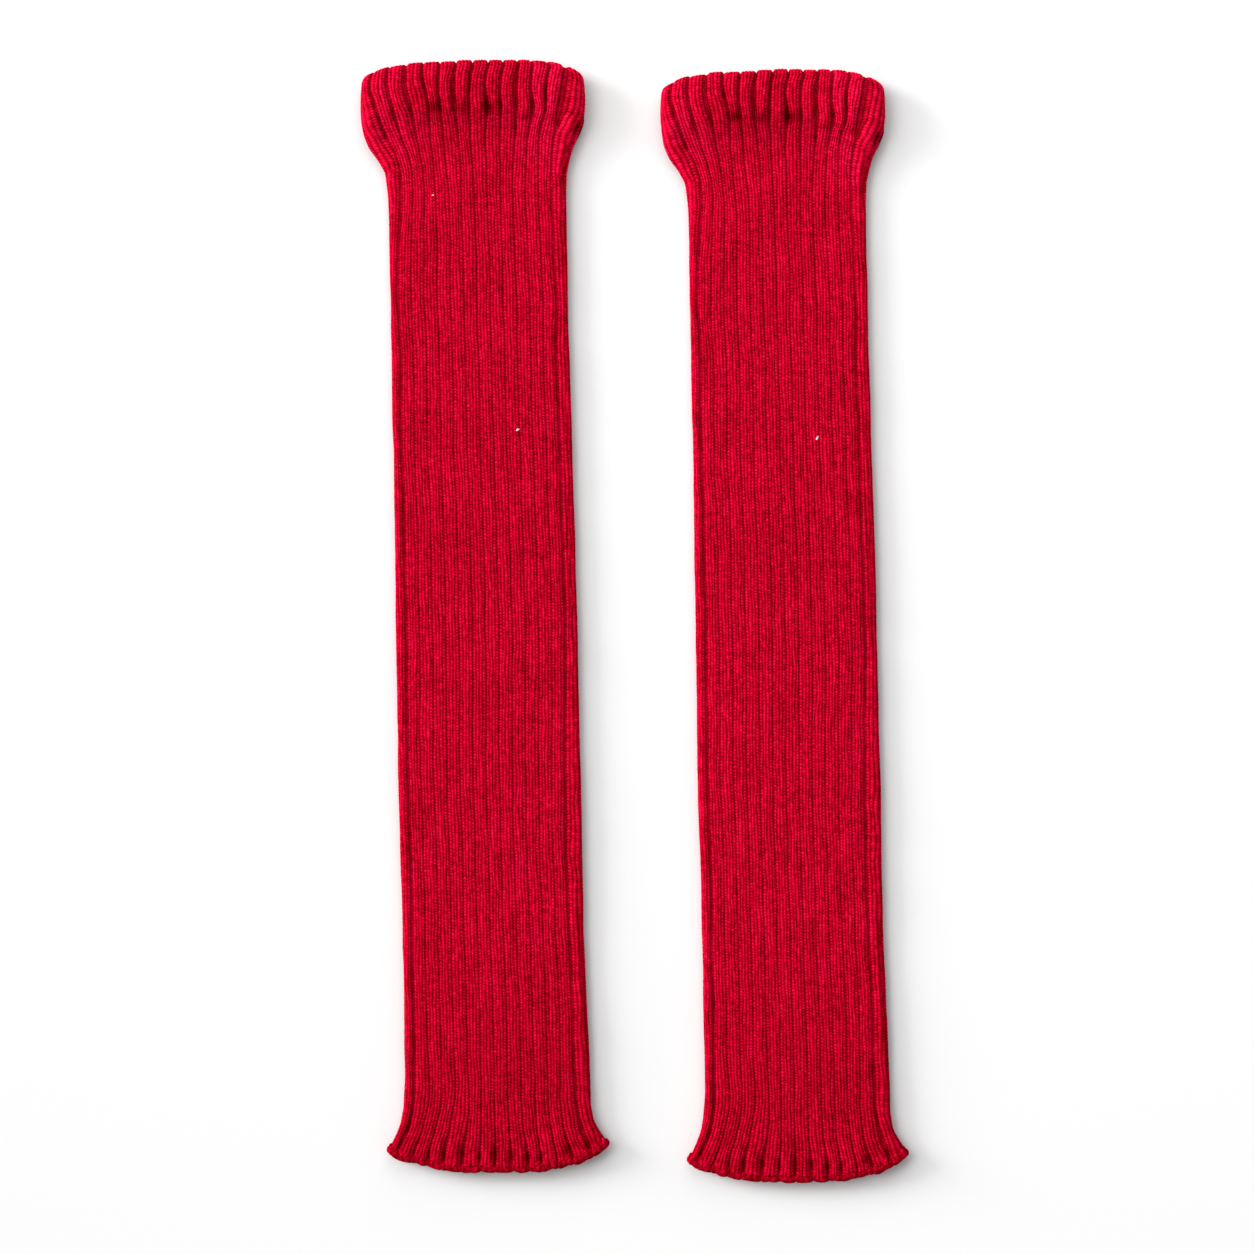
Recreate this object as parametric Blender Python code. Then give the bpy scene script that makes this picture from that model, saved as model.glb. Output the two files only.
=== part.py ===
# Pair of long rib-knit leg warmers, lying flat side by side with the cuffs away from the viewer.
# Each one is a ribbed tube, knitted round in one piece. Its top edge is turned in to make a soft
# double cuff, and a bound-off cord of loops finishes its lower edge.
# Metres, +Z up. The tubes run along Y with the cuffs at +Y, and the surface they lie on is z = 0.

from collections import namedtuple

import bpy
import numpy as np

MM = 0.001

# Driving sizes, in millimetres
LENGTH = 601.5            # cuff crown to the bottom of the bound-off edge, at mid width
SET_APART = 162.1         # between the two tubes, axis to axis
SET_BACK = 5.2            # the right one lies this much nearer the viewer
RIBS_ACROSS = 14          # ribs on the upper side of one tube
POINTS_PER_RIB = 4        # groove, shoulder, crown, shoulder
UNDER_POINTS = 10         # points along the flat underside, closest together at its sides
RIB_ROUNDNESS = 0.7       # exponent on the sine that rounds each rib, lower is fuller
GROOVE_WALL = 1.5         # cloth left under a groove
UNDER_WALL = 2.2          # cloth on the underside, which lies pressed flat
SEAM_GAP = 0.3            # between the wall's lower end and the bound-off edge
OUTLINE_STEPS = 400       # points on a dense outline, before it is read at even steps

# Where the side folds turn under, as shares of a fold's height
FLAT_STARTS = 0.75        # how far in from the fold the flat underside starts
BEND_IN = 0.22            # the point between the fold and the flat: how far in
BEND_UP = 0.32            # and how far up

# The turned-in layer of the cuff
TURNING_DEPTH = 26.0      # how far down inside it reaches
TURNING_WALL = 2.0
TURNING_GAP = 0.4         # between it and the wall that it lies against
FOLD_ROWS = 3             # rings on the rounded fold at the top
SCALLOP = 0.45            # share of the fold's height that a groove loses

# The bound-off edge
EDGE_RADIUS = 1.6
EDGE_SWELL = 0.12         # share by which each rib's loops swell the edge
EDGE_SIDES = 1            # bevel resolution, six sides
EDGE_CLEAR = 0.25         # more room past the seam gap, for the bends at the corners
EDGE_LIFT = 0.05          # its clearance over the surface

# One row for each section of a tube, from the cuff down, in millimetres.
# down: distance of its middle below the cuff's crown
# bow: how far its two sides lie below its middle, which arches the cuff and the lower edge
# tilt: how far its right side lies above its left one
# centre: how far it is shifted sideways, since the tube leans a little
# half: half its width, groove to groove
# crown: height of the ribs' crowns above the surface
# base: height of its underside above the surface
# side: height of the side folds
# square: superellipse exponent of the upper outline
# rib: depth of the grooves
# wall: cloth under the crown of a rib
Section = namedtuple("Section", "down bow tilt centre half crown base side square rib wall")
SECTIONS = (
    Section(3.0, 11.4, 1.4, -7.2, 59.4, 13.4, 0.0, 5.6, 3.6, 2.2, 3.6),
    Section(9.0, 10.6, 1.2, -7.2, 60.0, 13.8, 0.0, 5.8, 3.4, 2.3, 3.6),
    Section(17.5, 9.6, 1.0, -7.1, 59.9, 13.8, 0.0, 5.8, 3.4, 2.3, 3.6),
    Section(26.5, 8.8, 0.8, -7.2, 59.1, 13.2, 0.0, 5.6, 3.4, 2.3, 3.5),
    Section(33.0, 8.1, 0.6, -7.8, 57.3, 11.0, 0.0, 5.0, 3.6, 2.0, 3.5),
    Section(41.5, 6.0, 0.4, -7.8, 54.7, 9.2, 0.0, 4.2, 4.0, 1.6, 3.1),
    Section(49.5, 4.4, 0.2, -6.2, 51.6, 8.0, 0.0, 3.7, 4.4, 1.3, 2.8),
    Section(57.5, 3.2, 0.0, -5.1, 49.0, 7.3, 0.0, 3.4, 4.8, 1.1, 2.6),
    Section(72.0, 2.0, 0.0, -4.8, 48.1, 6.9, 0.0, 3.2, 5.0, 1.0, 2.5),
    Section(151.0, 0.0, 0.0, -3.2, 47.8, 6.6, 0.0, 3.0, 5.0, 0.9, 2.4),
    Section(250.0, 0.0, 0.0, -0.8, 48.7, 6.5, 0.0, 3.0, 5.0, 0.9, 2.4),
    Section(378.0, 0.0, 0.0, 1.6, 49.4, 6.5, 0.0, 3.0, 5.0, 0.9, 2.4),
    Section(470.0, 0.0, 0.0, 3.8, 48.9, 6.6, 0.0, 3.0, 5.0, 0.9, 2.4),
    Section(552.0, -1.1, 0.4, 6.2, 49.8, 6.9, 0.0, 3.2, 5.0, 1.0, 2.5),
    Section(568.0, -3.4, 1.2, 6.2, 50.3, 7.3, 0.0, 3.4, 4.6, 1.3, 2.8),
    Section(579.0, -6.3, 2.2, 6.3, 51.7, 7.7, 0.0, 3.7, 4.2, 1.6, 3.1),
    Section(588.0, -9.2, 3.2, 6.8, 53.9, 8.1, 0.2, 4.0, 3.8, 1.8, 3.3),
    Section(597.0, -12.6, 4.0, 7.2, 57.4, 8.5, 0.6, 4.4, 3.6, 1.9, 3.4),
)

# Where the plain inside has its rings below the turning, as distances down
INSIDE_ROWS = (33.0, 49.5, 72.0, 151.0, 378.0, 552.0, 579.0, 597.0)

# How much of the bow is a shallow arch; the rest turns down sharply at the corners
CUFF_ARCH = 0.25
HEM_ARCH = 0.5
CORNER_POWER = 8

# One row for each leg warmer: side of the pair and where its axis and its crown lie
Place = namedtuple("Place", "name x y")
PLACES = (
    Place("left", -SET_APART / 2, LENGTH / 2 + SET_BACK / 2),
    Place("right", SET_APART / 2, LENGTH / 2 - SET_BACK / 2),
)

KNIT_COLOUR = (0.53, 0.002, 0.024, 1.0)
EDGE_COLOUR = (0.48, 0.002, 0.021, 1.0)
YARN_ROUGHNESS = 0.9


def clear_scene():
    for old in list(bpy.data.objects):
        bpy.data.objects.remove(old, do_unlink=True)


def new_collection(name):
    made = bpy.data.collections.new(name)
    bpy.context.scene.collection.children.link(made)
    return made


def yarn_material(name, colour):
    material = bpy.data.materials.new(name)
    material.use_nodes = True
    shader = material.node_tree.nodes["Principled BSDF"]
    shader.inputs["Base Color"].default_value = colour
    shader.inputs["Roughness"].default_value = YARN_ROUGHNESS
    shader.inputs["Metallic"].default_value = 0.0
    material.diffuse_color = colour
    return material


def section_at(down):
    """The section at any distance down, each of its sizes read between its neighbours."""
    table = np.array(SECTIONS)
    found = [np.interp(down, table[:, 0], column) for column in table.T]
    return Section(*found)


def evenly(points, shares):
    """Points at the given shares of the length of a dense outline, with the outward normals there."""
    steps = np.linalg.norm(np.diff(points, axis=0), axis=1)
    along = np.concatenate(([0.0], np.cumsum(steps)))
    wanted = np.asarray(shares) * along[-1]
    placed = np.column_stack([np.interp(wanted, along, points[:, i]) for i in (0, 1)])
    tangent = np.gradient(points, along, axis=0)
    turned = np.column_stack([np.interp(wanted, along, tangent[:, i]) for i in (0, 1)])
    normal = np.column_stack((-turned[:, 1], turned[:, 0]))
    return placed, normal / np.linalg.norm(normal, axis=1, keepdims=True)


def half_outline(half, low, high, square):
    """Dense superellipse over the top, from the left side fold at low, by high, to the right one."""
    angle = np.linspace(np.pi, 0.0, OUTLINE_STEPS)
    across = half * np.sign(np.cos(angle)) * np.abs(np.cos(angle)) ** (2 / square)
    up = low + (high - low) * np.abs(np.sin(angle)) ** (2 / square)
    return np.column_stack((across, up))


def rib_lift():
    """Share of the rib's height at each upper point: 0 in a groove, 1 on a crown."""
    place = np.arange(RIBS_ACROSS * POINTS_PER_RIB + 1) / POINTS_PER_RIB
    return np.abs(np.sin(np.pi * place)) ** RIB_ROUNDNESS


def bowed(section, across):
    """Distance down of each point of a section, with its sides bowed and tilted."""
    share = across / section.half
    arch = CUFF_ARCH if section.down < LENGTH / 2 else HEM_ARCH
    bow = section.bow * (arch * share**2 + (1 - arch) * share**CORNER_POWER)
    return section.down + bow - section.tilt / 2 * share**3


def ring(section, across, up):
    """Columns x, y, z of one ring, in the tube's own frame with the crown at y = 0."""
    return np.column_stack((across + section.centre, -bowed(section, across), up))


def outer_ring(down):
    """Ribbed over the top from side fold to side fold, then back along the flat underside."""
    section = section_at(down)
    upper_count = RIBS_ACROSS * POINTS_PER_RIB
    shares = np.linspace(0, 1, upper_count + 1)
    outline = half_outline(section.half, section.side, section.crown - section.rib, section.square)
    upper, normal = evenly(outline, shares)
    upper = upper + normal * (section.rib * rib_lift())[:, None]
    turn = section.side - section.base
    reach = np.cos(np.linspace(0, np.pi, UNDER_POINTS))
    flat_half = section.half - FLAT_STARTS * turn
    under = np.column_stack((reach * flat_half, np.full(UNDER_POINTS, section.base)))
    bend = np.array([section.half - BEND_IN * turn, section.base + BEND_UP * turn])
    under = np.vstack((bend, under, bend * (-1, 1)))
    across, up = np.vstack((upper, under)).T
    return ring(section, across, up)


def inner_ring(down, inset):
    """Plain inside of the wall, or a layer lying inset millimetres further in."""
    section = section_at(down)
    high = section.crown - section.wall - inset
    low = section.base + UNDER_WALL + inset
    middle = (high + low) / 2
    half = section.half - GROOVE_WALL - inset
    shares = np.linspace(0, 1, RIBS_ACROSS * POINTS_PER_RIB + 1)
    upper, _ = evenly(half_outline(half, middle, high, section.square), shares)
    under_shares = (1 + np.cos(np.linspace(0, np.pi, UNDER_POINTS + 4)[1:-1])) / 2
    under, _ = evenly(half_outline(half, middle, low, section.square), under_shares)
    across, up = np.vstack((upper, under)).T
    return ring(section, across, up)


def fold_rings(outer, inner):
    """Half-round fold that carries the outer ring over the top into the inner one, lower in the grooves."""
    lift = np.ones(len(outer))
    lift[: RIBS_ACROSS * POINTS_PER_RIB + 1] = 1 - SCALLOP * (1 - rib_lift())
    centre = (outer + inner) / 2
    spoke = (outer - inner) / 2
    rise = section_at(0).down * lift
    rings = []
    for angle in np.pi * np.arange(1, FOLD_ROWS + 1) / (FOLD_ROWS + 1):
        turned = centre + spoke * np.cos(angle)
        turned[:, 1] += rise * np.sin(angle)
        rings.append(turned)
    return rings


def tube_rings():
    """Every ring of the wall in order: down the outside, up the inside, and round the turning."""
    outside = [outer_ring(section.down) for section in SECTIONS]
    first = SECTIONS[0].down
    turning_top = first + TURNING_WALL / 2
    turning_rows = (first, TURNING_DEPTH / 2, TURNING_DEPTH - TURNING_WALL / 2)
    slit_rows = (TURNING_DEPTH - TURNING_WALL / 2, TURNING_DEPTH / 2, turning_top)
    face = TURNING_GAP + TURNING_WALL
    turning_face = [inner_ring(down, face) for down in turning_rows]
    turning_edge = [inner_ring(TURNING_DEPTH, TURNING_GAP + TURNING_WALL / 2)]
    turning_back = [inner_ring(down, TURNING_GAP) for down in slit_rows]
    inside_rows = (turning_top, TURNING_DEPTH / 2, TURNING_DEPTH) + INSIDE_ROWS
    inside = [inner_ring(down, 0.0) for down in inside_rows]
    fold = fold_rings(outside[0], turning_face[0])
    return outside[::-1] + fold + turning_face + turning_edge + turning_back + inside


def loft(rings):
    """Vertices and faces of a wall whose rings close on themselves and whose last ring meets its first."""
    count, columns = len(rings), len(rings[0])
    numbers = np.arange(count * columns).reshape(count, columns)
    after = np.roll(numbers, -1, axis=0)
    corners = (numbers, np.roll(numbers, -1, axis=1), np.roll(after, -1, axis=1), after)
    faces = np.stack(corners, axis=-1).reshape(-1, 4)
    return np.vstack(rings), faces


def placed(points, place):
    return (points + np.array((place.x, place.y, 0.0))) * MM


def make_tube(place, collection, material):
    """The ribbed tube with its turned-in cuff."""
    points, faces = loft(tube_rings())
    mesh = bpy.data.meshes.new(place.name + "_tube")
    mesh.from_pydata(placed(points, place).tolist(), [], faces.tolist())
    mesh.materials.append(material)
    mesh.shade_smooth()
    tube = bpy.data.objects.new(place.name + "_tube", mesh)
    collection.objects.link(tube)
    return tube


def edge_path():
    """Centre of the bound-off edge beside each point of the wall's lower end."""
    outer, inner = outer_ring(SECTIONS[-1].down), inner_ring(SECTIONS[-1].down, 0.0)
    above = (outer_ring(SECTIONS[-2].down) + inner_ring(SECTIONS[-2].down, 0.0)) / 2
    end = (outer + inner) / 2
    tangent = np.roll(end, -1, axis=0) - np.roll(end, 1, axis=0)
    tangent /= np.linalg.norm(tangent, axis=1, keepdims=True)
    outward = end - above
    outward -= tangent * np.sum(outward * tangent, axis=1, keepdims=True)
    outward[:, 2] = 0.0
    outward /= np.linalg.norm(outward, axis=1, keepdims=True)
    swell = np.ones(len(end))
    swell[: RIBS_ACROSS * POINTS_PER_RIB + 1] += EDGE_SWELL * rib_lift()
    reach = SEAM_GAP + EDGE_CLEAR + EDGE_RADIUS * swell
    path = end + outward * reach[:, None]
    path[:, 2] = np.maximum(path[:, 2], EDGE_RADIUS * swell + EDGE_LIFT)
    return path, swell


def make_edge(place, collection, material):
    """The bound-off edge, a closed cord of loops round the lower opening."""
    path, swell = edge_path()
    curve = bpy.data.curves.new(place.name + "_bound_edge", "CURVE")
    curve.dimensions = "3D"
    curve.bevel_depth = EDGE_RADIUS * MM
    curve.bevel_resolution = EDGE_SIDES
    spline = curve.splines.new("POLY")
    spline.points.add(len(path) - 1)
    points = np.column_stack((placed(path, place), np.ones(len(path))))
    spline.points.foreach_set("co", points.ravel())
    spline.points.foreach_set("radius", swell)
    spline.use_cyclic_u = True
    curve.materials.append(material)
    edge = bpy.data.objects.new(place.name + "_bound_edge", curve)
    collection.objects.link(edge)
    return edge


def centre(pieces):
    """Moves the pieces together until the middle of their outline from above is the origin."""
    bpy.context.view_layer.update()
    corners = np.array([corner[:] for piece in pieces for corner in piece.bound_box])
    middle = (corners.min(axis=0) + corners.max(axis=0)) / 2
    for piece in pieces:
        piece.location = (-middle[0], -middle[1], 0.0)


def main():
    clear_scene()
    pair = new_collection("leg_warmers")
    knit = yarn_material("rib_knit", KNIT_COLOUR)
    bound = yarn_material("bound_edge", EDGE_COLOUR)
    for place in PLACES:
        make_tube(place, pair, knit)
        make_edge(place, pair, bound)
    centre(list(pair.objects))


main()
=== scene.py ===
import bpy
import numpy as np
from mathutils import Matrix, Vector


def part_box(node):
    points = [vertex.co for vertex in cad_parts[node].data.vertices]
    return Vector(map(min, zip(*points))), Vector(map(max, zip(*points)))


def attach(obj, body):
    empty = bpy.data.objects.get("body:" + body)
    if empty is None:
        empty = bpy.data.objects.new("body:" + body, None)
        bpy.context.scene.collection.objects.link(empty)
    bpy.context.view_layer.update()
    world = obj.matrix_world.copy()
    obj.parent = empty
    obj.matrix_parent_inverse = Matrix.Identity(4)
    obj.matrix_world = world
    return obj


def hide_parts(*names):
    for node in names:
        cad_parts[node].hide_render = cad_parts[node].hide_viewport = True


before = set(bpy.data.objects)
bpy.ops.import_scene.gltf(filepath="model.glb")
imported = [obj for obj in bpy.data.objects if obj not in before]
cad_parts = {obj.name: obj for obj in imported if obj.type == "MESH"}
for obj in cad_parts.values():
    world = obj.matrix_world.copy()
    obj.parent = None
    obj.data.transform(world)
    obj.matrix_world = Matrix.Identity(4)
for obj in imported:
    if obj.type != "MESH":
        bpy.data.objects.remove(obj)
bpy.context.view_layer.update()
print("frame loaded")

# A pair of long rib-knit leg warmers lying flat, seen from above with the cuffs at the top.
# Shapes are worked out in millimetres in one leg warmer's own frame: x across, y towards the cuff
# with the cuff's crown at 0, z up from the surface. Only the last step turns them into metres.
mm = 0.001

# The picture: its side in pixels, mm in a pixel, its middle in mm in the pair's frame, and the
# pixel where the left leg warmer's own frame has its origin
picture = {"side": 1254, "scale": 0.5415, "middle": (-4.5, -2.7), "origin": (485.35, 62.2)}

# Sections of one tube from the cuff down, close to its solid's
# down: its middle's distance below the crown   bow: how far its sides lie below its middle
# tilt: how far its right side lies above its left   centre: its shift sideways
# half: half its width   crown: height of the ribs   side: height of the side folds
# base: height of the underside   rib: depth of the grooves   wall: cloth under a rib's crown
sectionColumns = "down bow tilt centre half crown base side rib wall".split()
sectionRows = np.array((
    (-6.0, 11.8, 1.4, -6.7, 59.3, 13.0, 0.0, 5.6, 2.0, 4.2),
    (3.0, 11.4, 1.4, -6.7, 60.1, 13.4, 0.0, 5.6, 2.1, 4.3),
    (9.0, 10.6, 1.2, -6.7, 60.5, 13.8, 0.0, 5.8, 2.2, 4.4),
    (17.5, 9.6, 1.0, -6.6, 60.5, 13.8, 0.0, 5.8, 2.2, 4.4),
    (26.0, 8.8, 0.8, -6.5, 60.2, 13.1, 0.0, 5.6, 2.0, 4.3),
    (33.0, 8.1, 0.6, -7.4, 58.2, 10.8, 0.0, 5.0, 1.25, 3.9),
    (41.5, 6.0, 0.4, -7.7, 55.0, 9.0, 0.0, 4.2, 0.76, 3.3),
    (49.5, 4.4, 0.2, -6.2, 51.6, 8.0, 0.0, 3.7, 0.62, 2.8),
    (57.5, 3.2, 0.0, -5.0, 48.9, 7.3, 0.0, 3.4, 0.58, 2.6),
    (72.0, 2.0, 0.0, -4.3, 48.0, 6.9, 0.0, 3.2, 0.56, 2.5),
    (151.0, 0.0, 0.0, -2.8, 47.9, 6.6, 0.0, 3.0, 0.54, 2.4),
    (250.0, 0.0, 0.0, -0.3, 48.6, 6.5, 0.0, 3.0, 0.54, 2.4),
    (378.0, 0.0, 0.0, 2.1, 49.3, 6.5, 0.0, 3.0, 0.54, 2.4),
    (470.0, 0.0, 0.0, 4.3, 48.9, 6.6, 0.0, 3.0, 0.54, 2.4),
    (552.0, -1.1, 0.4, 6.9, 50.0, 6.9, 0.0, 3.2, 0.6, 2.6),
    (568.0, -3.4, 1.2, 6.5, 50.6, 7.3, 0.0, 3.4, 0.68, 2.9),
    (579.0, -6.3, 2.2, 6.3, 52.1, 7.8, 0.0, 3.7, 0.8, 3.2),
    (588.0, -9.2, 3.2, 6.6, 54.8, 8.3, 0.2, 4.0, 1.0, 3.4),
    (597.8, -12.8, 4.0, 7.0, 58.4, 8.4, 0.7, 4.4, 1.3, 3.5),
))

# The rib knit
knit = {
    "ribs": 14,                  # across the upper side, and as many underneath
    "walesPerRib": 6,            # four knit wales on the rib and two purl ones in its groove
    "coursePitch": 1.7,          # mm from one course to the next
    "waleDepth": 0.36,           # mm from a wale's ridge to the valley beside it
    "waleGain": (0.75, 1.0, 1.0, 0.75),          # share of it for each wale of a rib
    "waleWander": (0.05, 0.045, 0.025),          # sideways, share of a rib, for three sines
    "grooveWander": (0.006, 80.0),               # share of the half width, and length in mm
    "mostFloor": 0.3,            # most of a rib's width that a groove's floor takes
    "sideRound": 1.25,           # reach of the rounded sides over their rise
    "cuffEnds": (24, 18),        # mm down, and over how many it eases
    "hemStarts": (545, 30),
    "legWaves": 0.22,            # mm, slow unevenness of the whole leg
    "ribWaves": 0.16,            # mm, and of each rib
    "leastWall": 0.4,            # mm of cloth left under a hollow
    "foldGroove": 0.15,          # share of a groove's depth at the side folds
    "underDepth": 0.7,           # mm, grooves on the underside, pressed flat
    "underWall": 2.2,
    "dome": 0.5,                 # mm that the middle stands over the sides
    "lean": 1.5,                 # mm by which the cuff's crown leans up to the right
    "hemPaintedShade": 0.12,             # share of painted shade, the yarn's colour darker towards the hem
    "cuffPaintedLight": 0.26,            # share of painted light, the yarn's colour lighter at the cuff's sides
    "openDark": 1.6,             # share by which painted shade darkens a wide open floor more
    "hollowDark": 0.36,          # share by which painted shade darkens it for each mm of a hollow
    "rows": ((3.0, 66.0, 58), (66.0, 552.0, 150), (552.0, 597.8, 46)),   # from, to, rings
    "seed": 11,
}

# The turned-in layer of the cuff and the fold over it, in mm
turning = {
    "depth": 26.0,               # how far down inside it reaches
    "wall": 2.0,
    "gap": 0.4,                  # between it and the wall
    "foldRows": 8,
    "faceRows": 4,
    "rise": 3.1,                 # how far the fold stands past the first ring
    "notch": 0.45,               # share of that lost at a groove
    "bumps": 0.35,               # height of the wales on the fold
    "foldLength": 9.0,           # cloth that goes round the fold
    "sideWall": 1.5,             # thickness of the wall at the side folds
}

# Rings of the plain inside, mm down: at the cuff, then first, last and number, then at the hem
innerRows = ((13.0, 26.0, 33.0, 41.0, 49.5, 57.5), (72, 552, 13), (568.0, 579.0, 588.0, 597.8))

# Paths of the 13 grooves between the side folds, in the picture's pixels on the left leg warmer:
# the distance down, then each groove's place across. Down the leg they lie evenly between the
# first and the last.
cuffPaths = (
    (64, 373.5, 388.5, 405, 423, 440, 457, 474, 490, 505, 519.5, 533.5, 551.5, 568.5),
    (75, 372, 387.5, 405, 422, 439, 454.5, 471, 486.5, 501.5, 517, 531.5, 548, 568),
    (85, 371, 387, 404.5, 423.5, 438.5, 453.5, 470, 485, 500.5, 516, 531, 546, 566.5),
    (95, 371.5, 388.5, 406, 427, 438.5, 453.5, 469.5, 485.5, 500, 515.5, 531, 545.5, 565),
    (105, 375, 391, 409, 428.5, 440, 454.5, 469, 487, 501, 516, 532.5, 546, 563),
    (115, 378, 394, 412.5, 429.5, 441, 455.5, 469, 486.5, 501, 516, 533, 545, 560.5),
    (125, 381, 397.5, 414, 430, 442.5, 457, 470.5, 486, 500.5, 516, 530.5, 541.5, 557.5),
    (135, 385, 400.5, 416.5, 430.5, 443.5, 458, 471, 486, 500.5, 515.5, 529, 539.5, 554.5),
    (145, 391, 404, 418.5, 431.5, 444.5, 459, 471.5, 486, 500.5, 514, 527.5, 538.5, 552.5),
    (155, 396, 408, 420, 432.5, 445, 460, 472, 486.5, 500.5, 513.5, 527, 538, 551.5),
    (170, 400.5, 411.5, 422.5, 434, 447, 461, 473, 487, 501, 513, 526, 538, 551),
    (190, 401.5, 413.5, 424.5, 436, 449, 461.5, 474, 487, 500.5, 512.5, 525, 538.5, 551.5),
)
legPaths = ((250, 398.5, 554), (300, 398, 556.5), (350, 401, 556.5), (450, 401.5, 560),
            (500, 404, 561), (550, 405, 563.5), (650, 407, 565.5), (750, 407.5, 565),
            (800, 409, 565), (850, 411, 566), (900, 412, 568), (950, 412.5, 570),
            (1000, 413.5, 572.5), (1050, 414.5, 573.5))
hemPaths = (
    (1095, 414, 430, 442, 455.5, 469.5, 481.5, 494.5, 508, 521.5, 535, 548, 560, 575),
    (1110, 412.5, 427.5, 440.5, 453, 469.5, 481.5, 495, 508.5, 522.5, 536, 549, 561.5, 577.5),
    (1122, 410, 424.5, 437.5, 451, 468, 481.5, 495, 509, 523, 536.5, 550.5, 563, 580),
    (1132, 406.5, 421.5, 435, 449, 466.5, 481, 495.5, 509.5, 524.5, 537.5, 552, 565, 583),
    (1140, 402, 419, 432, 447, 465, 481, 495.5, 510.5, 526, 539, 553.5, 567, 586),
    (1150, 397, 415.5, 430, 444.5, 463, 480, 495.5, 511, 527.5, 540.5, 556, 570.5, 590),
    (1162, 393, 413, 428.5, 443, 462, 479.5, 495.5, 511.5, 528, 541.5, 557.5, 572.5, 593),
)

# Half the width of the grooves' floors in mm, by distance down, and what single grooves have more
floorRows = ((0, 0.55), (26, 0.6), (38, 0.35), (55, 0.2), (550, 0.15), (580, 0.15), (600, 0.3))
widerGrooves = (                 # groove, first and last mm down, mm more on each side
    (13, 2, 27, 2.1), (13, 27, 34, 1.0), (3, 2, 24, 0.5), (6, 8, 28, 0.5), (10, 8, 28, 0.5),
    (11, 22, 30, 0.3), (5, 580, 604, 0.45), (4, 582, 604, 0.35), (8, 584, 604, 0.35),
    (9, 584, 604, 0.35), (12, 580, 604, 0.35), (13, 576, 604, 0.4), (1, 60, 590, 0.5),
    (13, 60, 590, 0.4))

# Grooves that stand out: groove, first and last mm down, times as deep
deeperGrooves = (
    (1, 30, 90, 1.8), (1, 90, 200, 3.0), (1, 200, 585, 3.6), (2, 30, 60, 1.8), (3, 30, 60, 1.5),
    (13, 118, 215, 3.8), (13, 230, 450, 3.6), (13, 450, 585, 3.0), (7, 90, 130, 2.2),
    (4, 90, 120, 2.0), (10, 90, 130, 2.4), (12, 200, 260, 1.8), (6, 330, 420, 1.6),
    (8, 420, 520, 1.7), (5, 560, 600, 1.25), (4, 560, 600, 1.2), (12, 560, 600, 1.2))

# Share of a groove's depth that is also painted as shade into its yarn's colour, by distance down
darkRows = ((0, 0.1), (26, 0.12), (40, 0.06), (60, 0.03), (560, 0.03), (585, 0.1), (600, 0.25))

# Hollows and lumps, in the same pixels: across, down, then half widths across and
# down in mm, then height in mm
marks = np.array((
    (437, 110.5, 3.8, 2.8, -1.8), (424.5, 87, 1.2, 4.5, -1.0), (411, 112, 1.5, 4.5, -1.1),
    (454, 98, 1.5, 7.0, -1.1), (487, 106, 1.8, 5.0, -1.8), (500.5, 107, 1.2, 3.2, -1.4),
    (516, 102, 1.6, 6.0, -1.0), (515.5, 130, 1.0, 2.4, -1.3), (532.5, 108, 1.4, 4.5, -1.5),
    (546, 97, 1.2, 5.0, -0.9), (557, 122, 2.0, 3.2, -1.2), (577, 129, 1.8, 4.0, -1.5),
    (386, 137, 1.5, 4.2, -1.2), (374, 102, 1.1, 4.5, -1.0), (393, 113, 1.2, 4.5, -0.9),
    (465, 110, 3.2, 2.6, -1.2), (490, 110, 3.2, 3.0, -1.6), (470, 84, 1.2, 4.5, -0.8),
    (420, 118, 1.2, 3.0, 0.4), (433.5, 99, 3.0, 2.6, 0.9), (423, 96, 1.2, 1.1, 0.7),
    (416, 92, 1.8, 2.6, 0.5), (498, 102, 2.4, 3.0, 0.6), (447, 103, 2.4, 2.8, 0.5),
    (525, 113, 3.0, 2.4, 0.7), (524, 120, 3.2, 0.9, -0.9), (541.5, 120, 1.4, 2.4, 0.7),
    (463, 103, 2.0, 2.6, 0.5), (552, 104, 2.2, 3.0, 0.4), (509, 106, 2.0, 2.6, 0.4),
    (377, 96, 2.4, 3.0, 0.4), (540, 100, 1.8, 2.8, 0.4), (476, 117, 1.6, 2.4, -0.6),
    (537, 556, 9.0, 2.5, -0.5), (520, 548, 6.0, 2.0, 0.35), (500, 700, 12.0, 5.0, -0.3),
    (402, 1141, 1.5, 4.0, -1.2), (429, 1156, 1.5, 3.0, -1.0), (444, 1154, 1.8, 3.6, -1.3),
    (462, 1153, 2.4, 3.8, -1.5), (480, 1155, 1.3, 3.2, -1.0), (495.5, 1155, 1.6, 3.6, -1.3),
    (511.5, 1156, 1.8, 3.2, -1.4), (528, 1157, 2.0, 3.0, -1.4), (541.5, 1157, 1.6, 3.0, -1.2),
    (568, 1151, 2.6, 3.0, -1.2), (588, 1145, 2.0, 3.4, -1.3), (390.5, 1146.5, 0.9, 0.9, -1.6),
    (604.5, 1143.5, 0.9, 0.9, -1.4),
))
# Side creases: three points of each on the picture, half width and depth in mm
sideCreases = (
    (((581, 120), (571, 141), (562.5, 192)), 0.9, 1.1),
    (((560, 262), (563.5, 390), (569, 470)), 0.5, 0.5),
    (((578, 905), (584, 1000), (589, 1085)), 0.7, 0.9),
    (((566, 480), (570, 570), (573, 640)), 0.6, 0.6),
)

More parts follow.
